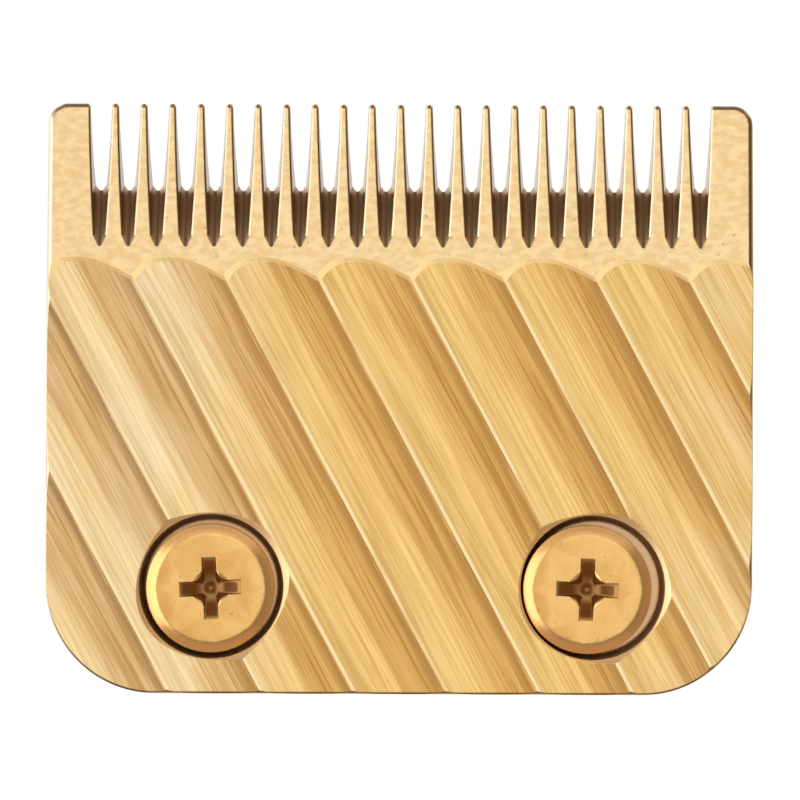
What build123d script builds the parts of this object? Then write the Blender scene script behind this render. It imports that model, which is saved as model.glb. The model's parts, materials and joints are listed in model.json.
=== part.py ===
"""Fixed blade of a hair clipper with its two mounting screws.

Millimetres. X runs along the tooth row, Y from the heel to the tooth tips, Z from the seat to the skin face.
The origin lies midway between the two screws, on the seat.
"""

import os
from math import atan2, ceil, cos, degrees, floor, hypot, radians, sin, tan

from build123d import *

# Blade plate
blade_width = 45.0
screws_to_tips = 30.9
screws_to_heel = 6.7
blade_thickness = 3.2
tip_thickness = 0.5
taper_length = 11.15
heel_corner_radius = 7.0
tip_corner_radius = 1.25
face_edge_radius = 0.4
back_edge_chamfer = 0.2

# Hollow ground across the back, between the tooth land and the rear land
hollow_front_y = 21.0
hollow_rear_y = 9.0
hollow_depth = 0.35

# Diagonal flutes in the skin face
flute_pitch = 5.2
flute_depth = 0.3
flute_angle = 28.3
flute_crest_radius = 0.6
flute_crest_x = 0.65
flute_stock = 0.05
run_out_band = 0.35

# Comb of teeth
tooth_pitch = 1.823
tooth_tip_width = 0.4
end_tooth_width = 2.6
tooth_edge_chamfer = 0.1
gullet_band = 2.0
gullet_floor_run = 3.6
gullet_nose_width = 0.66
gullet_nose_angle = 102.0
gullet_tip_radius = 0.24
gullet_flank_angle = 9.5

# Screws
screw_spacing = 24.0
screw_turns = (3.0, -2.0)
head_diameter = 8.2
head_height = 2.1
head_bevel_width = 0.65
head_bevel_height = 0.4
head_edge_chamfer = 0.1
head_under_chamfer = 0.4
neck_diameter = 3.3
shank_diameter = 4.0
shank_length = 5.0
shank_end_chamfer = 0.4
recess_span = 4.05
recess_wing_width = 0.92
recess_corner_radius = 0.75
recess_depth = 1.5
recess_floor_span = 1.4
recess_floor_wing_width = 0.7
recess_floor_corner_radius = 0.3
recess_point_radius = 0.5
recess_point_depth = 0.35

# Counterbored holes, with play for setting the blade on its screws
head_clearance = 0.5
shank_clearance = 0.5
hole_spread = 0.3
hole_shift_x = 0.2
hole_shift_y = 0.12
counterbore_web = 1.0
counterbore_corner_run = 0.42
counterbore_corner_rise = 0.45
counterbore_corner_ease = 0.1
rim_width = 0.08
rim_angle = 42.0

# Lines, slopes and diameters that follow from the sizes
tips_y = screws_to_tips
heel_y = -screws_to_heel
run_out_y = tips_y - taper_length
taper_slope = (blade_thickness - tip_thickness) / taper_length
taper_angle = degrees(atan2(blade_thickness - tip_thickness, taper_length))
blank_top = blade_thickness + flute_stock
blank_edge_y = run_out_y - flute_stock / taper_slope
gap_count = round((blade_width - 2 * end_tooth_width + tooth_tip_width) / tooth_pitch)
gullet_length = taper_length - gullet_band
gullet_root_y = tips_y - gullet_length
gullet_root_z = tip_thickness + taper_slope * gullet_length
gullet_path = Vector(0, gullet_floor_run, -gullet_root_z).normalized()
gullet_slope = gullet_root_z / gullet_floor_run
gullet_rise = (gullet_slope - taper_slope) * gullet_path.Y
hole_spacing = screw_spacing + hole_spread
screw_hole_diameter = shank_diameter + 2 * shank_clearance
counterbore_diameter = head_diameter + 2 * head_clearance
plate_span = hypot(blade_width, screws_to_tips + screws_to_heel)


def flute_profile(plane, depth, crest_radius):
    """Space above a row of round-bottomed flutes whose eased crests touch the plane's X axis."""
    reach = (depth**2 + (flute_pitch / 2) ** 2) / (2 * depth)
    ease_x = crest_radius * flute_pitch / 2 / reach
    ease_y = -crest_radius * depth / reach
    first = floor(-plate_span / flute_pitch)
    last = ceil(plate_span / 2 / flute_pitch)
    with BuildSketch(plane) as profile:
        with BuildLine():
            for number in range(first, last):
                left = number * flute_pitch
                middle = left + flute_pitch / 2
                right = left + flute_pitch
                ThreePointArc((left + ease_x, ease_y), (middle, -depth), (right - ease_x, ease_y))
                ThreePointArc((right - ease_x, ease_y), (right, 0), (right + ease_x, ease_y))
            Polyline(
                (last * flute_pitch + ease_x, ease_y),
                (last * flute_pitch + ease_x, blade_thickness),
                (first * flute_pitch + ease_x, blade_thickness),
                (first * flute_pitch + ease_x, ease_y),
            )
        make_face()
    return profile.sketch


def flute_plane(tilt, height):
    """Plane across the flutes, at the crest that meets the run-out line, tipped down towards the teeth."""
    turn = radians(flute_angle)
    return Plane(
        origin=(flute_crest_x, run_out_y, height),
        x_dir=Vector(cos(turn), sin(turn), 0).rotate(Axis.X, -tilt),
        z_dir=Vector(sin(turn), -cos(turn), 0).rotate(Axis.X, -tilt),
    )


def cross_section(plane, span, wing_width, corner_radius):
    """Cross with rounded inner corners."""
    with BuildSketch(plane) as cross:
        Rectangle(span, wing_width)
        Rectangle(wing_width, span)
        inner_corners = cross.vertices().sort_by_distance((0, 0, 0))[:4]
        fillet(inner_corners, corner_radius)
    return cross.sketch


with BuildPart() as fixed_blade:
    # Tapered blank with rounded corners
    with BuildSketch(Plane.YZ):
        with BuildLine():
            Polyline(
                (heel_y, 0),
                (tips_y, 0),
                (tips_y, tip_thickness),
                (blank_edge_y, blank_top),
                (heel_y, blank_top),
                close=True,
            )
        make_face()
    extrude(amount=blade_width / 2, both=True)
    fillet(fixed_blade.edges().filter_by(Axis.Z).group_by(Axis.Y)[0], heel_corner_radius)
    fillet(fixed_blade.edges().filter_by(Axis.Z).group_by(Axis.Y)[-1], tip_corner_radius)

    # Eased edges round the flat and the tapered skin face, but not on the ridge between them
    skin_faces = fixed_blade.faces().sort_by(Axis.Z)[-2:]
    ridge = fixed_blade.edges().filter_by(Axis.X).group_by(Axis.Z)[-1].sort_by(Axis.Y)[-1]
    fillet(skin_faces.edges().filter_by(lambda edge: not edge.is_same(ridge)), face_edge_radius)

    # Flutes, then the eased band along their scalloped run-out
    flutes = flute_profile(flute_plane(0, blade_thickness), flute_depth, flute_crest_radius)
    extrude(flutes, amount=plate_span, both=True, mode=Mode.SUBTRACT)
    band_plane = flute_plane(taper_angle / 2, blade_thickness - run_out_band * taper_slope / 4)
    band = flute_profile(band_plane, flute_depth / 2, flute_crest_radius)
    extrude(band, amount=plate_span, both=True, mode=Mode.SUBTRACT)

    # Hollow ground back
    with BuildSketch(Plane.YZ):
        with BuildLine():
            hollow_middle_y = (hollow_rear_y + hollow_front_y) / 2
            ThreePointArc((hollow_rear_y, 0), (hollow_middle_y, hollow_depth), (hollow_front_y, 0))
            Line((hollow_front_y, 0), (hollow_rear_y, 0))
        make_face()
    extrude(amount=blade_width / 2, both=True, mode=Mode.SUBTRACT)

    # Gullets between the teeth: one blunt-nosed cut on a path that slopes from the skin face to the back
    nose = radians(gullet_nose_angle / 2)
    flank = radians(gullet_flank_angle)
    tip_x = gullet_tip_radius * cos(nose)
    tip_y = gullet_tip_radius * (1 - sin(nose))
    knee_x = gullet_nose_width / 2
    knee_y = tip_y + (knee_x - tip_x) / tan(nose)
    mouth_x = (tooth_pitch - tooth_tip_width) / 2
    mouth_y = gullet_rise * gullet_length
    gullet_root = Plane((0, gullet_root_y, gullet_root_z), x_dir=(-1, 0, 0), z_dir=gullet_path)
    with BuildSketch(gullet_root):
        with BuildLine():
            ThreePointArc((-tip_x, tip_y), (0, 0), (tip_x, tip_y))
            Line((tip_x, tip_y), (knee_x, knee_y))
            TangentArc((knee_x, knee_y), (mouth_x, mouth_y), tangent=(sin(flank), cos(flank)))
            Polyline(
                (mouth_x, mouth_y),
                (mouth_x, mouth_y + blade_thickness),
                (-mouth_x, mouth_y + blade_thickness),
                (-mouth_x, mouth_y),
            )
            TangentArc((-knee_x, knee_y), (-mouth_x, mouth_y), tangent=(-sin(flank), cos(flank)))
            Line((-knee_x, knee_y), (-tip_x, tip_y))
        gullet = make_face(mode=Mode.PRIVATE)
        with GridLocations(tooth_pitch, 0, gap_count, 1):
            add(gullet)
    extrude(amount=2 * gullet_length, mode=Mode.SUBTRACT)

    # Eased tooth edges, from the gullet knees along the skin face and down the tips
    gullet_knee_y = gullet_root_y + knee_y / gullet_rise
    cut_edges = fixed_blade.edges(Select.LAST).filter_by(lambda edge: edge.center().Y > gullet_knee_y)
    tooth_edges = cut_edges.filter_by(Axis.X, reverse=True).filter_by(Plane.XY, reverse=True)
    chamfer(tooth_edges.filter_by(Axis(gullet_root.origin, gullet_path), reverse=True), tooth_edge_chamfer)

    # Screw holes: a through hole, a counterbore with an eased corner, and a chamfered rim
    rim_slope = tan(radians(rim_angle))
    rim_foot = blade_thickness - flute_depth - rim_width * rim_slope
    corner_slope = counterbore_corner_rise / counterbore_corner_run
    corner_start = counterbore_diameter / 2 - counterbore_corner_run
    for side in (-1, 1):
        hole_x = hole_shift_x + side * hole_spacing / 2
        with BuildSketch(Plane((hole_x, hole_shift_y, 0), x_dir=(1, 0, 0), z_dir=(0, -1, 0))):
            with BuildLine():
                Polyline(
                    (0, 0),
                    (screw_hole_diameter / 2, 0),
                    (screw_hole_diameter / 2, counterbore_web),
                    (corner_start, counterbore_web),
                    (
                        corner_start + counterbore_corner_ease,
                        counterbore_web + counterbore_corner_ease * corner_slope / 2,
                    ),
                    (counterbore_diameter / 2, counterbore_web + counterbore_corner_rise),
                    (counterbore_diameter / 2, rim_foot),
                    (counterbore_diameter / 2 + (blank_top - rim_foot) / rim_slope, blank_top),
                    (0, blank_top),
                    close=True,
                )
            make_face()
        revolve(axis=Axis((hole_x, hole_shift_y, 0), (0, 0, 1)), mode=Mode.SUBTRACT)

    # Eased edges on the back: round the screw holes and along the heel, up to the hollow
    rear_land = fixed_blade.faces().group_by(Axis.Z)[0].sort_by(Axis.Y)[0]
    heel_edges = rear_land.outer_wire().edges().sort_by(Axis.Y)[:-1]
    chamfer(rear_land.inner_wires().edges() + heel_edges, back_edge_chamfer)

with BuildPart() as blade_screws:
    for screw_x, turn in zip((-screw_spacing / 2, screw_spacing / 2), screw_turns):
        # Turned blank: a bevelled head, a neck inside the blade and the shank below the seat
        with BuildSketch(Plane.XZ.shift_origin((screw_x, 0, counterbore_web))):
            with BuildLine():
                Polyline(
                    (0, head_height),
                    (head_diameter / 2 - head_bevel_width, head_height),
                    (head_diameter / 2, head_height - head_bevel_height),
                    (head_diameter / 2, head_under_chamfer),
                    (head_diameter / 2 - head_under_chamfer, 0),
                    (neck_diameter / 2, 0),
                    (neck_diameter / 2, (shank_diameter - neck_diameter) / 2 - counterbore_web),
                    (shank_diameter / 2, -counterbore_web),
                    (shank_diameter / 2, shank_end_chamfer - shank_length),
                    (shank_diameter / 2 - shank_end_chamfer, -shank_length),
                    (0, -shank_length),
                    close=True,
                )
            make_face()
        revolve(axis=Axis((screw_x, 0, 0), (0, 0, 1)))
        head_rim = blade_screws.edges(Select.LAST).filter_by(GeomType.CIRCLE).group_by(Axis.Z)[-1]
        chamfer(head_rim, head_edge_chamfer)

        # Cross recess that narrows to a pointed floor
        head_top = Plane((screw_x, 0, counterbore_web + head_height)).rotated((0, 0, turn))
        recess_floor = head_top.offset(-recess_depth)
        mouth_cross = cross_section(head_top, recess_span, recess_wing_width, recess_corner_radius)
        floor_cross = cross_section(
            recess_floor, recess_floor_span, recess_floor_wing_width, recess_floor_corner_radius
        )
        loft([mouth_cross, floor_cross], ruled=True, mode=Mode.SUBTRACT)
        with Locations(recess_floor):
            Cone(
                bottom_radius=0,
                top_radius=recess_point_radius,
                height=recess_point_depth,
                align=(Align.CENTER, Align.CENTER, Align.MAX),
                mode=Mode.SUBTRACT,
            )

fixed_blade.part.label = "fixed_blade"
blade_screws.part.label = "blade_screws"

os.makedirs("parts", exist_ok=True)
export_step(fixed_blade.part, "parts/fixed_blade.step")
export_step(blade_screws.part, "parts/blade_screws.step")
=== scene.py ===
"""Looks of the hair clipper blade: gold metals, threaded screws, a studio and the camera.

Metres, in the part's own frame.
"""

import json
from math import cos, pi, radians, sin

import bmesh
import bpy
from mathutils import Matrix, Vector


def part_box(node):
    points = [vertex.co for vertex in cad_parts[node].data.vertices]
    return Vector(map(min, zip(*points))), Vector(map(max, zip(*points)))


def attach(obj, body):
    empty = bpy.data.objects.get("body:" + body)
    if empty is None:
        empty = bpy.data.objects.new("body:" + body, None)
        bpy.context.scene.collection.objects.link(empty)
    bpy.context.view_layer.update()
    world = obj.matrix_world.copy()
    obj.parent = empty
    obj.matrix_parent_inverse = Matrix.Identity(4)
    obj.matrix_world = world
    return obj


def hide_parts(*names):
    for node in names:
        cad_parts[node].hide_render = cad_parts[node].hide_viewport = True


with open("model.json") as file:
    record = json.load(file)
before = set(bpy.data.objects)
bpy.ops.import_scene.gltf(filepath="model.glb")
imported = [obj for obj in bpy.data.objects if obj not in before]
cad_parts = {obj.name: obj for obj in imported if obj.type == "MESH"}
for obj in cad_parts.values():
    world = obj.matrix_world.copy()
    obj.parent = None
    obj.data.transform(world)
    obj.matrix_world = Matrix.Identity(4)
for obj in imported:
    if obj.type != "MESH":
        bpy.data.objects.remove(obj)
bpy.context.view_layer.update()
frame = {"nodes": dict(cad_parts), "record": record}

MM = 0.001


def mm(*lengths):
    """Lengths in millimetres, as metres."""
    return tuple(length * MM for length in lengths)


# Sizes read from the frame
studs = next(mount for mount in frame["record"]["mounts"] if mount["name"] == "screw_studs")
screw_spacing = studs["dims"]["spacing_x_mm"] * MM
thread_radius = studs["dims"]["stud_r_mm"] * MM
half_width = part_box("fixed_blade")[1].x
heel_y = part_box("fixed_blade")[0].y
thread_end_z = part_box("blade_screws")[0].z
head_top_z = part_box("blade_screws")[1].z

# Flutes
flute_angle = radians(28.3)
flute_pitch = 5.2 * MM
flute_crest = (0.65 * MM, 19.75 * MM, 0.0)

# Zones of the blade by place, each with the stretch over which it fades in
heel_corner_radius = 7.0 * MM
heel_zone = (heel_y + heel_corner_radius, heel_y + 3 * MM)
tooth_zone = mm(17.7, 18.5)
comb_zone = mm(21.0, 21.2)
slot_inset = mm(0.5, 0.7)
border_inset = mm(0.17, 0.09)
bore_zone_radius = mm(6.0, 5.9)
bore_zone_z = mm(2.7, 2.65)

# Zones of the blade by the way its surface faces, as parts of the normal
eased_lean = (0.03, 0.06)
toothed_lean = (0.14, 0.18)
upper_rise = (0.80, 0.90)
steep_rise = (0.95, 0.90)
wall_rise = (0.80, 0.70)
back_rise = (-0.5, -0.8)
edge_rise = (0.25, 0.40, 0.88, 0.95)
unlit_turn = (-0.35, -0.1)
gullet_lean = (0.42, 0.50, 0.68, 0.76)
gullet_nose_turn = (0.66, 0.25)

# Brushing: sizes of the streaks across and along, contrast and share in the tone
hairline_sizes = mm(0.06, 4, 4)
line_sizes = mm(0.17, 8, 8)
swath_sizes = mm(0.9, 16, 16)
patch_sizes = mm(4, 9, 9)
hairline_contrast = (0.34, 0.66)
line_contrast = (0.41, 0.59)
swath_contrast = (0.35, 0.65)
patch_contrast = (0.35, 0.65)
hairline_share = 0.3
line_share = 0.4
swath_share = 0.3
line_relief_share = 0.5
# Painted highlight: paler brushing in patches towards the ends of the blade
left_pale_x = mm(-4, -16)
left_pale_share = (0.5, 0.85)
right_pale_x = mm(13, 21)
right_pale_share = (0.1, 0.5)

# Crests of the flutes, with painted highlight and painted shade: stretches across the line, and how they
# vary along it
crest_highlight_span = mm(-0.03, 0.03, 0.14, 0.26)
crest_shaded = mm(-0.7, -0.35, -0.12, -0.02)
crest_shaded_end = mm(0, -0.06)
crest_streak_shade_span = mm(-2.1, -1.2, -0.3, -0.1)
crest_wander = 0.9 * MM
crest_patch_sizes = mm(1.5, 6, 6)
crest_patch_contrast = (0.3, 0.55)
streak_shade_contrast = (0.47, 0.38)
streak_shade_share = 0.7
crest_shade_share = 0.6

# Satin of the toothed face, and grinding of the back
grain_sizes = mm(0.11, 0.11, 0.11)
grain_contrast = (0.3, 0.7)
grain_share = 0.5
mottle_sizes = mm(0.7, 0.45, 0.45)
mottle_contrast = (0.33, 0.67)
cloud_sizes = mm(3, 2, 2)
cloud_share = 0.3
fleck_sizes = mm(0.3, 0.3, 0.3)
fleck_contrast = (0.77, 0.92)
ground_sizes = mm(9, 0.08, 4)
ground_contrast = (0.3, 0.7)

# Colours of the blade
brushed_deep = (0.67, 0.41, 0.12)
brushed_light = (0.98, 0.69, 0.275)
# Paler brushing of the painted highlight towards the ends
sheen_deep = (0.76, 0.55, 0.28)
sheen_light = (1.0, 0.86, 0.57)
# Painted shade and painted highlight along the flute crests
crest_shade_brown = (0.48, 0.28, 0.09)
crest_highlight_gold = (1.0, 0.80, 0.46)
eased_gold = (0.91, 0.665, 0.32)
satin_deep = (0.84, 0.585, 0.28)
satin_light = (0.98, 0.74, 0.395)
satin_cloud = (0.98, 0.77, 0.46)
satin_fleck = (0.66, 0.42, 0.18)
steep_gold = (0.86, 0.66, 0.43)
wall_gold = (0.74, 0.53, 0.26)
# Painted light and painted shade of the slot flanks, lighter towards the left lamp
flank_lit = (0.58, 0.43, 0.29)
flank_unlit = (0.28, 0.20, 0.13)
# Painted highlight on edges facing the left lamp, painted shade on the others
edge_lit = (0.88, 0.75, 0.50)
edge_unlit = (0.22, 0.125, 0.055)
# Painted shade along the heel's edge
heel_shade_brown = (0.18, 0.10, 0.045)
gullet_slope_brown = (0.80, 0.54, 0.32)
# Painted shade at the nose of the gullets
gullet_nose_shade = (0.25, 0.165, 0.09)
rim_gold = (0.97, 0.74, 0.42)
bore_floor = (0.80, 0.57, 0.35)
bore_wall = (0.96, 0.79, 0.61)
back_deep = (0.84, 0.58, 0.25)
back_light = (0.92, 0.67, 0.33)

# Roughness and relief of the blade
brushed_roughness = (0.10, 0.15)
satin_roughness = (0.32, 0.4)
steep_roughness = 0.24
gullet_roughness = 0.5
rim_roughness = 0.45
bore_roughness = 0.38
back_roughness = 0.28
blade_relief = 0.005 * MM

# Screws
recess_zone_radius = mm(2.1, 2.05)
bevel_zone_z = (head_top_z - 0.02 * MM, head_top_z - 0.1 * MM)
side_zone_z = (head_top_z - 0.42 * MM, head_top_z - 0.5 * MM)
thread_pitch = 0.7 * MM
thread_depth = 0.38 * MM
thread_end_chamfer = 0.4 * MM
thread_groove = (0.0, 0.35, 1.0, 0.35)
thread_spare_rows = 6
thread_steps = 48
thread_plug_z = 0.15 * MM
thread_plug_radius = 1.8 * MM
weld_distance = 0.001 * MM
smooth_angle = radians(25)

# Finish of the screws
disc_grain_sizes = mm(0.12, 0.12, 0.12)
disc_grain_contrast = (0.3, 0.7)
disc_cloud_sizes = mm(0.9, 0.9, 0.9)
disc_cloud_contrast = (0.3, 0.7)
disc_fleck_sizes = mm(0.25, 0.25, 0.25)
disc_fleck_contrast = (0.75, 0.88)
disc_deep = (0.88, 0.54, 0.185)
disc_light = (0.93, 0.59, 0.22)
disc_fleck = (0.70, 0.40, 0.13)
bevel_gold = (0.90, 0.51, 0.19)
side_gold = (0.95, 0.74, 0.52)
# Painted shade in the screw heads' recess
recess_shade_brown = (0.46, 0.245, 0.09)
disc_roughness = (0.24, 0.32)
recess_roughness = 0.42
screw_relief = 0.002 * MM

# Rounding of sharp edges in the light
edge_softness = 0.1 * MM
edge_samples = 4

# Camera, straight above the blade
view_distance = 620.0 * MM
view_x = 0.03 * MM
view_y = 12.03 * MM
view_plane_z = 3.0 * MM
view_width = 50.92 * MM
view_roll = radians(0.25)
sensor_width = 36.0

# Studio
floor_size = 3.0
paper_colour = (0.9, 0.9, 0.9)
paper_glow = 1.1
paper_glow_share = 0.86
lamp_height = 0.6
lamp_row_y = -0.05
panel_distance = 0.7
room_colour = (0.24, 0.21, 0.18)
key_colour = (1.0, 1.0, 1.0)
fill_colour = (1.0, 0.83, 0.67)
warm_colour = (1.0, 0.75, 0.62)


class Nodes:
    """Node tree of a material or of the world, with short calls for its nodes."""

    def __init__(self, owner):
        owner.use_nodes = True
        self.tree = owner.node_tree
        self.tree.nodes.clear()

    def node(self, kind, settings=None, **inputs):
        """New node with its settings and the values of its inputs, each a socket or a constant."""
        node = self.tree.nodes.new(kind)
        for name, value in (settings or {}).items():
            setattr(node, name, value)
        for name, value in inputs.items():
            self.put(value, node.inputs[name.replace("_", " ")])
        return node

    def link(self, source, target):
        """Joins two sockets."""
        self.tree.links.new(source, target)

    def put(self, value, socket):
        """Gives a socket its value, from another socket or as a constant."""
        if isinstance(value, bpy.types.NodeSocket):
            self.link(value, socket)
        else:
            socket.default_value = value

    def parts(self, vector):
        """X, Y and Z of a vector."""
        return self.node("ShaderNodeSeparateXYZ", Vector=vector).outputs

    def along(self, vector, direction):
        """Length of a vector along a direction."""
        node = self.node("ShaderNodeVectorMath", {"operation": "DOT_PRODUCT"})
        self.put(vector, node.inputs[0])
        node.inputs[1].default_value = direction
        return node.outputs["Value"]

    def math(self, operation, first, second=0.0):
        """One or two values combined."""
        node = self.node("ShaderNodeMath", {"operation": operation})
        self.put(first, node.inputs[0])
        self.put(second, node.inputs[1])
        return node.outputs["Value"]

    def times(self, first, second):
        """Two values multiplied."""
        return self.math("MULTIPLY", first, second)

    def reach(self, first, second):
        """Length of the diagonal over two sides."""
        total = self.math("ADD", self.times(first, first), self.times(second, second))
        return self.math("SQRT", total)

    def band(self, value, edges):
        """1 between the two middle edges, falling to 0 at the outer ones."""
        rise = self.ramp(value, edges[0], edges[1])
        fall = self.ramp(value, edges[3], edges[2])
        return self.times(rise, fall)

    def ramp(self, value, low, high):
        """The value spread smoothly from 0 at low to 1 at high."""
        settings = {"interpolation_type": "SMOOTHSTEP"}
        node = self.node("ShaderNodeMapRange", settings, Value=value, From_Min=low, From_Max=high)
        return node.outputs["Result"]

    def mix(self, factor, first, second):
        """Blend of two values."""
        node = self.node("ShaderNodeMix", {"data_type": "FLOAT"})
        self.put(factor, node.inputs[0])
        self.put(first, node.inputs[2])
        self.put(second, node.inputs[3])
        return node.outputs[0]

    def tint(self, factor, first, second):
        """Blend of two colours."""
        node = self.node("ShaderNodeMix", {"data_type": "RGBA"})
        self.put(factor, node.inputs[0])
        for colour, socket in ((first, node.inputs[6]), (second, node.inputs[7])):
            self.put((*colour, 1.0) if isinstance(colour, tuple) else colour, socket)
        return node.outputs[2]

    def blend(self, factor, first, second):
        """Blend of two surfaces."""
        node = self.node("ShaderNodeMixShader", Fac=factor)
        self.link(first.outputs[0], node.inputs[1])
        self.link(second.outputs[0], node.inputs[2])
        return node


class Metal(Nodes):
    """Material of one metal."""

    def __init__(self, name):
        self.material = bpy.data.materials.new(name)
        super().__init__(self.material)
        coordinates = self.node("ShaderNodeTexCoord")
        self.place = coordinates.outputs["Object"]
        self.normal = coordinates.outputs["Normal"]
        bevel = self.node("ShaderNodeBevel", {"samples": edge_samples}, Radius=edge_softness)
        self.soft = bevel.outputs["Normal"]

    def from_screw(self):
        """Distance from the axis of the nearer screw."""
        place = self.parts(self.place)
        aside = self.math("SUBTRACT", self.math("ABSOLUTE", place["X"]), screw_spacing / 2)
        return self.reach(aside, place["Y"])

    def from_outline(self):
        """Distance inside the blade's outline, along the heel and the sides."""
        place = self.parts(self.place)
        aside = self.math("SUBTRACT", self.math("ABSOLUTE", place["X"]), half_width - heel_corner_radius)
        behind = self.math("SUBTRACT", heel_y + heel_corner_radius, place["Y"])
        reach = self.reach(self.math("MAXIMUM", aside, 0.0), self.math("MAXIMUM", behind, 0.0))
        return self.math("SUBTRACT", heel_corner_radius, reach)

    def noise(self, sizes, detail, angle=0.0):
        """Noise with features of the given sizes, in directions turned about Z."""
        turn = self.node("ShaderNodeMapping", Vector=self.place, Rotation=(0, 0, angle))
        fit = tuple(1 / size for size in sizes)
        scale = self.node("ShaderNodeMapping", Vector=turn.outputs["Vector"], Scale=fit)
        node = self.node("ShaderNodeTexNoise", Vector=scale.outputs["Vector"], Scale=1.0, Detail=detail)
        return node.outputs["Fac"]

    def finish(self, colour, roughness, height, depth):
        """Surface of the given colour and roughness, with bumps over softened edges."""
        bump = self.node("ShaderNodeBump", Strength=1.0, Distance=depth, Height=height, Normal=self.soft)
        surface = self.node("ShaderNodeBsdfPrincipled", Metallic=1.0, Base_Color=colour, Roughness=roughness)
        self.link(bump.outputs["Normal"], surface.inputs["Normal"])
        output = self.node("ShaderNodeOutputMaterial")
        self.link(surface.outputs["BSDF"], output.inputs["Surface"])
        return self.material


def blade_coat():
    """Gold coat: brushed along the flutes, satin on the toothed face, ground on the back."""
    shade = Metal("blade_coat")
    place = shade.parts(shade.place)
    normal = shade.parts(shade.normal)
    soft = shade.parts(shade.soft)
    across = (cos(flute_angle), sin(flute_angle), 0)

    # Toothed face, gullets and tooth flanks
    to_tips = shade.along(shade.normal, (-sin(flute_angle), cos(flute_angle), 0))
    inset = shade.from_outline()
    front = shade.ramp(place["Y"], *tooth_zone)
    eased = shade.times(front, shade.ramp(to_tips, *eased_lean))
    toothed = shade.times(front, shade.ramp(to_tips, *toothed_lean))
    toothed = shade.math("MAXIMUM", toothed, shade.ramp(place["Y"], *comb_zone))
    slotted = shade.times(toothed, shade.ramp(inset, *slot_inset))
    gullet = shade.times(front, shade.band(normal["Y"], gullet_lean))
    nose = shade.ramp(shade.math("ABSOLUTE", normal["X"]), *gullet_nose_turn)

    # Edges, walls and back
    steep = shade.ramp(normal["Z"], *steep_rise)
    wall = shade.ramp(normal["Z"], *wall_rise)
    # Softened edges, where painted highlight and painted shade go
    edge = shade.band(soft["Z"], edge_rise)
    # Faces turned away from the left lamp, where painted shade goes
    unlit = shade.ramp(soft["X"], *unlit_turn)
    heel = shade.times(shade.ramp(normal["Z"], *upper_rise), shade.ramp(place["Y"], *heel_zone))
    # Painted shade: a dark line along the heel's outline, where the rounded edge turns down
    heel_shade_line = shade.times(heel, shade.ramp(inset, *border_inset))
    back = shade.ramp(normal["Z"], *back_rise)

    # Screw holes and their rims
    holed = shade.ramp(shade.from_screw(), *bore_zone_radius)
    bored = shade.times(holed, shade.ramp(place["Z"], *bore_zone_z))
    rim = shade.times(holed, steep)

    # Brushing along the flutes, with painted highlight: paler in random patches towards the ends
    hairline = shade.noise(hairline_sizes, detail=2.0, angle=-flute_angle)
    line = shade.noise(line_sizes, detail=2.0, angle=-flute_angle)
    swath = shade.noise(swath_sizes, detail=2.0, angle=-flute_angle)
    patch = shade.ramp(shade.noise(patch_sizes, detail=1.0, angle=-flute_angle), *patch_contrast)
    tone = shade.times(shade.ramp(hairline, *hairline_contrast), hairline_share)
    tone = shade.math("ADD", tone, shade.times(shade.ramp(line, *line_contrast), line_share))
    tone = shade.math("ADD", tone, shade.times(shade.ramp(swath, *swath_contrast), swath_share))
    left = shade.times(shade.ramp(place["X"], *left_pale_x), shade.mix(patch, *left_pale_share))
    right = shade.times(shade.ramp(place["X"], *right_pale_x), shade.mix(patch, *right_pale_share))
    brushed = shade.tint(tone, brushed_deep, brushed_light)
    sheen = shade.tint(tone, sheen_deep, sheen_light)
    brushed = shade.tint(shade.math("MAXIMUM", left, right), brushed, sheen)

    # Crests: painted highlight on one side of the line, painted shade on the other, darkest along the
    # brushing streaks
    from_crest = shade.math("SUBTRACT", shade.along(shade.place, across), Vector(flute_crest).dot(across))
    turn = shade.math("FRACT", shade.math("ADD", shade.math("DIVIDE", from_crest, flute_pitch), 0.5))
    offset = shade.times(shade.math("SUBTRACT", turn, 0.5), flute_pitch)
    ragged = shade.math("ADD", offset, shade.times(shade.math("SUBTRACT", line, 0.5), crest_wander))
    patchy = shade.noise(crest_patch_sizes, detail=1.0, angle=-flute_angle)
    patchy = shade.ramp(patchy, *crest_patch_contrast)
    crest_highlight_mask = shade.times(shade.band(offset, crest_highlight_span), patchy)
    streak_shade = shade.times(shade.band(offset, crest_streak_shade_span), shade.ramp(line, *streak_shade_contrast))
    shaded = shade.times(shade.band(ragged, crest_shaded), shade.ramp(offset, *crest_shaded_end))
    shaded = shade.math("MAXIMUM", shaded, shade.times(streak_shade, streak_shade_share))
    brushed = shade.tint(shade.times(shaded, crest_shade_share), brushed, crest_shade_brown)
    brushed = shade.tint(crest_highlight_mask, brushed, crest_highlight_gold)

    # Satin of the toothed face, and the back, ground across
    grain = shade.noise(grain_sizes, detail=3.0)
    mottle = shade.noise(mottle_sizes, detail=3.0)
    cloud = shade.noise(cloud_sizes, detail=2.0)
    fleck = shade.noise(fleck_sizes, detail=0.0)
    ground = shade.noise(ground_sizes, detail=2.0)
    satin = shade.tint(shade.ramp(mottle, *mottle_contrast), satin_deep, satin_light)
    satin = shade.tint(shade.times(cloud, cloud_share), satin, satin_cloud)
    satin = shade.tint(shade.ramp(fleck, *fleck_contrast), satin, satin_fleck)
    back_gold = shade.tint(shade.ramp(ground, *ground_contrast), back_deep, back_light)

    # Each zone laid over the ones before it
    colour = shade.tint(eased, brushed, eased_gold)
    colour = shade.tint(toothed, colour, satin)
    colour = shade.tint(steep, colour, steep_gold)
    # Slot flanks with painted light facing the left lamp and painted shade facing away
    flank = shade.tint(unlit, flank_lit, flank_unlit)
    colour = shade.tint(wall, colour, shade.tint(slotted, wall_gold, flank))
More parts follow.
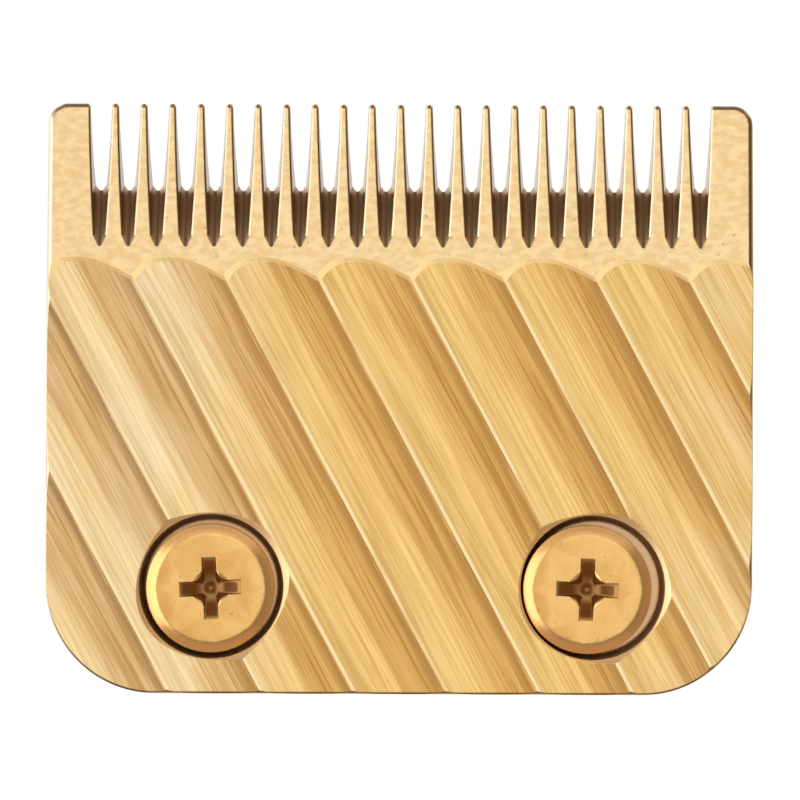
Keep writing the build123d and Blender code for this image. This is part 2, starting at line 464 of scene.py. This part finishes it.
    # Edges: painted highlight towards the left lamp, a painted dark shade line on the other sides
    colour = shade.tint(edge, colour, shade.tint(unlit, edge_lit, edge_unlit))
    # Painted shade line along the heel
    colour = shade.tint(heel_shade_line, colour, heel_shade_brown)
    # Gullet floors brown, with painted shade darkest down at the nose between the teeth
    colour = shade.tint(gullet, colour, shade.tint(nose, gullet_slope_brown, gullet_nose_shade))
    colour = shade.tint(rim, colour, rim_gold)
    colour = shade.tint(bored, colour, shade.tint(steep, bore_floor, bore_wall))
    colour = shade.tint(back, colour, back_gold)

    satin_rough = shade.mix(shade.ramp(grain, *grain_contrast), *satin_roughness)
    roughness = shade.mix(toothed, shade.mix(tone, *brushed_roughness), satin_rough)
    roughness = shade.mix(steep, roughness, steep_roughness)
    roughness = shade.mix(gullet, roughness, gullet_roughness)
    roughness = shade.mix(rim, roughness, rim_roughness)
    roughness = shade.mix(bored, roughness, bore_roughness)
    roughness = shade.mix(back, roughness, back_roughness)

    brushing = shade.mix(line_relief_share, hairline, line)
    height = shade.mix(shade.math("MAXIMUM", toothed, bored), brushing, shade.times(grain, grain_share))
    height = shade.mix(back, height, ground)
    return shade.finish(colour, roughness, height, blade_relief)


def screw_coat():
    """Orange gold coat with a fine satin grain, and painted shade in the recess."""
    shade = Metal("screw_coat")
    place = shade.parts(shade.place)
    inner = shade.ramp(shade.from_screw(), *recess_zone_radius)
    deep = shade.ramp(place["Z"], *bevel_zone_z)
    recess = shade.times(deep, inner)
    bevel = shade.math("SUBTRACT", deep, recess)
    side = shade.ramp(place["Z"], *side_zone_z)

    grain = shade.noise(disc_grain_sizes, detail=3.0)
    cloud = shade.noise(disc_cloud_sizes, detail=2.0)
    fleck = shade.noise(disc_fleck_sizes, detail=0.0)
    colour = shade.tint(shade.ramp(cloud, *disc_cloud_contrast), disc_deep, disc_light)
    colour = shade.tint(shade.ramp(fleck, *disc_fleck_contrast), colour, disc_fleck)
    colour = shade.tint(bevel, colour, bevel_gold)
    colour = shade.tint(side, colour, side_gold)
    # Painted shade in the deep recess of the head
    colour = shade.tint(recess, colour, recess_shade_brown)
    roughness = shade.mix(shade.ramp(grain, *disc_grain_contrast), *disc_roughness)
    roughness = shade.mix(recess, roughness, recess_roughness)
    return shade.finish(colour, roughness, grain, screw_relief)


def floor_paper():
    """White paper with a light shadow, white in the metals too and clear from below."""
    paper = bpy.data.materials.new("floor")
    paper.cycles.emission_sampling = "NONE"
    nodes = Nodes(paper)
    rays = nodes.node("ShaderNodeLightPath").outputs
    seen = nodes.math("MAXIMUM", rays["Is Camera Ray"], rays["Is Glossy Ray"])
    seen = nodes.math("MAXIMUM", seen, rays["Is Transmission Ray"])
    below = nodes.node("ShaderNodeNewGeometry").outputs["Backfacing"]
    shadowed = nodes.node("ShaderNodeBsdfDiffuse", Color=(*paper_colour, 1))
    white = nodes.node("ShaderNodeEmission", Strength=paper_glow)
    clear = nodes.node("ShaderNodeBsdfTransparent")
    sheet = nodes.blend(nodes.times(seen, paper_glow_share), shadowed, white)
    output = nodes.node("ShaderNodeOutputMaterial")
    nodes.link(nodes.blend(below, sheet, clear).outputs[0], output.inputs["Surface"])
    return paper


def add_object(name, data):
    """New object in the scene."""
    thing = bpy.data.objects.new(name, data)
    bpy.context.scene.collection.objects.link(thing)
    return thing


def add_thread(mesh, centre_x):
    """Threaded shank below the seat: rows wound round it, closed by a plug above and an end below."""
    turn_rows = len(thread_groove)
    last_row = int(-thread_end_z / thread_pitch * turn_rows) + thread_spare_rows
    rings = []
    plug = []
    for step in range(thread_steps):
        angle = 2 * pi * step / thread_steps
        across = Vector((cos(angle), sin(angle), 0))
        plug.append(Vector((centre_x, 0, thread_plug_z)) + across * thread_plug_radius)
    rings.append(plug + plug[:1])
    for row in range(-thread_spare_rows, last_row):
        ring = []
        for step in range(thread_steps + 1):
            turn = step / thread_steps
            z = min(0.0, -(row / turn_rows + turn) * thread_pitch)
            run_out = thread_radius + z * 2 * thread_depth / thread_pitch
            end = thread_radius - thread_end_chamfer + max(0.0, z - thread_end_z)
            cut = thread_radius - thread_depth * thread_groove[row % turn_rows]
            radius = min(end, max(run_out, cut))
            across = Vector((cos(2 * pi * turn), sin(2 * pi * turn), 0))
            ring.append(Vector((centre_x, 0, max(z, thread_end_z))) + across * radius)
        rings.append(ring)
    rings = [[mesh.verts.new(point) for point in ring] for ring in rings]
    for upper, lower in zip(rings, rings[1:]):
        for step in range(thread_steps):
            mesh.faces.new((upper[step], lower[step], lower[step + 1], upper[step + 1]))


def add_screws(material):
    """Screws as in the frame down to the seat, with threads below it."""
    source = frame["nodes"]["blade_screws"]
    mesh = bmesh.new()
    mesh.from_mesh(source.data)
    bmesh.ops.transform(mesh, matrix=source.matrix_world, verts=mesh.verts)
    whole = mesh.verts[:] + mesh.edges[:] + mesh.faces[:]
    bmesh.ops.bisect_plane(mesh, geom=whole, plane_co=(0, 0, 0), plane_no=(0, 0, 1), clear_inner=True)
    for side in (-1, 1):
        add_thread(mesh, side * screw_spacing / 2)
    bmesh.ops.remove_doubles(mesh, verts=mesh.verts, dist=weld_distance)
    bmesh.ops.holes_fill(mesh, edges=[edge for edge in mesh.edges if edge.is_boundary])
    bmesh.ops.recalc_face_normals(mesh, faces=mesh.faces)
    data = bpy.data.meshes.new("screws")
    mesh.to_mesh(data)
    mesh.free()
    data.shade_smooth()
    data.set_sharp_from_angle(angle=smooth_angle)
    data.materials.append(material)
    screws = add_object("screws", data)
    screws.modifiers.new("weighted", "WEIGHTED_NORMAL").keep_sharp = True
    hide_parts("blade_screws")
    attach(screws, "root")


def dress(node, material):
    """Gives a frame node its material."""
    mesh = frame["nodes"][node].data
    mesh.materials.clear()
    mesh.materials.append(material)


def add_floor():
    """Plain floor under the screw ends."""
    mesh = bpy.data.meshes.new("floor")
    half = floor_size / 2
    corners = [(-half, -half), (half, -half), (half, half), (-half, half)]
    mesh.from_pydata([(x, y, thread_end_z) for x, y in corners], [], [(0, 1, 2, 3)])
    mesh.materials.append(floor_paper())
    add_object("floor", mesh)


def softbox(name, place, sizes, radiance, colour, lean=0.0, heading=0.0):
    """Rectangular lamp that looks as bright as its radiance in a mirror."""
    lamp = bpy.data.lights.new(name, "AREA")
    lamp.shape = "RECTANGLE"
    lamp.size, lamp.size_y = sizes
    lamp.energy = pi * sizes[0] * sizes[1] * radiance
    lamp.color = colour
    holder = add_object(name, lamp)
    holder.location = place
    holder.rotation_euler = (0, lean, heading)


def side_panel(name, heading, lean, sizes, radiance, colour):
    """Softbox off to one side, facing the blade."""
    heading = radians(heading)
    lean = radians(lean)
    place = Vector((sin(lean) * cos(heading), sin(lean) * sin(heading), cos(lean))) * panel_distance
    softbox(name, place, sizes, radiance, colour, lean, heading)


def add_studio():
    """Soft lamps above and on all four sides, in a dim room."""
    world = bpy.data.worlds.new("studio")
    nodes = Nodes(world)
    backdrop = nodes.node("ShaderNodeBackground", Color=(*room_colour, 1))
    output = nodes.node("ShaderNodeOutputWorld")
    nodes.link(backdrop.outputs[0], output.inputs["Surface"])
    bpy.context.scene.world = world
    softbox("key", (0.06, lamp_row_y, lamp_height), sizes=(0.16, 0.46), radiance=0.82, colour=key_colour)
    softbox("wing", (0.28, lamp_row_y, lamp_height), sizes=(0.28, 0.46), radiance=0.72, colour=key_colour)
    softbox("fill", (-0.16, lamp_row_y, lamp_height), sizes=(0.28, 0.46), radiance=0.58, colour=fill_colour)
    softbox("front", (0.08, 0.36, lamp_height), sizes=(0.66, 0.34), radiance=0.92, colour=key_colour)
    side_panel("left", heading=180, lean=62, sizes=(0.74, 0.9), radiance=1.75, colour=key_colour)
    side_panel("right", heading=0, lean=62, sizes=(0.26, 1.2), radiance=0.17, colour=warm_colour)
    side_panel("heel", heading=-90, lean=62, sizes=(0.44, 1.2), radiance=0.28, colour=warm_colour)
    side_panel("tips", heading=90, lean=53, sizes=(0.28, 1.2), radiance=0.6, colour=key_colour)


def add_camera():
    """Camera straight above the blade, with the picture's slight roll."""
    data = bpy.data.cameras.new("camera")
    data.sensor_width = sensor_width
    data.lens = sensor_width * view_distance / view_width
    camera = add_object("camera", data)
    camera.location = (view_x, view_y, view_plane_z + view_distance)
    camera.rotation_euler = (0, 0, view_roll)
    bpy.context.scene.camera = camera


dress("fixed_blade", blade_coat())
add_screws(screw_coat())
add_floor()
add_studio()
add_camera()
bpy.context.scene.view_settings.view_transform = "Standard"
